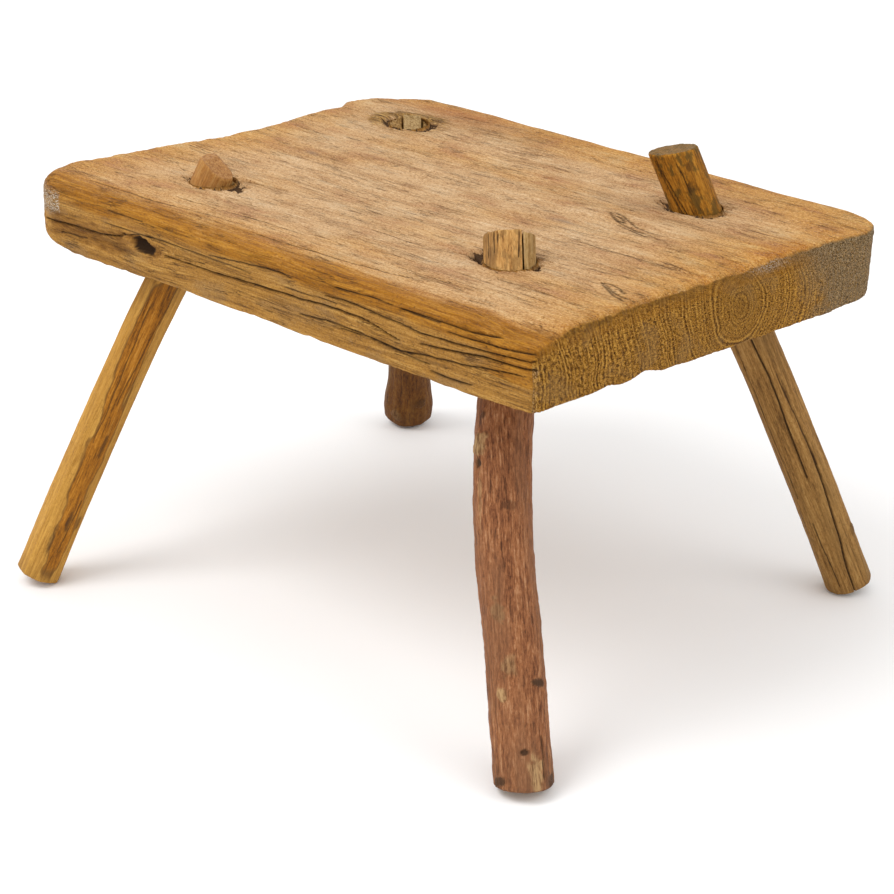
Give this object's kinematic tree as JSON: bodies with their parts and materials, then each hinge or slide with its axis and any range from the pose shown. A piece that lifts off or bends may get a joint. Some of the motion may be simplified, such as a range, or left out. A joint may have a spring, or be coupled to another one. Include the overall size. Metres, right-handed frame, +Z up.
{
  "type": "milking stool",
  "caption": "Low rustic stool: a hewn plank seat on splayed round legs whose wedged tenons come up through it.",
  "frame": {"origin": "on the floor, under the middle of the stool's outline seen from above", "axes": "+X along the seat's grain and its long side, towards the end-grain end; +Y across the seat towards the back long side; +Z up"},
  "size_m": [0.4744, 0.3997, 0.3061],
  "materials": {
    "plank_wood": "weathered, worn smooth, open cracks along the grain",
    "tan_stick": "barked with a knife, rubbed smooth",
    "bark_brown_stick": "inner bark left on, knotty",
    "grey_brown_stick": "weathered, cracked along its length",
    "dark_brown_stick": "dark and dull",
    "shim_wood": "split surface, rough"
  },
  "bodies": {
    "root": {"seat_slab": "plank_wood", "leg_left": "tan_stick", "leg_front": "bark_brown_stick", "leg_right": "grey_brown_stick", "leg_rear": "dark_brown_stick", "shim_left": "shim_wood", "shim_front": "shim_wood", "wedge_rear": "shim_wood"}
  },
  "joints": []
}
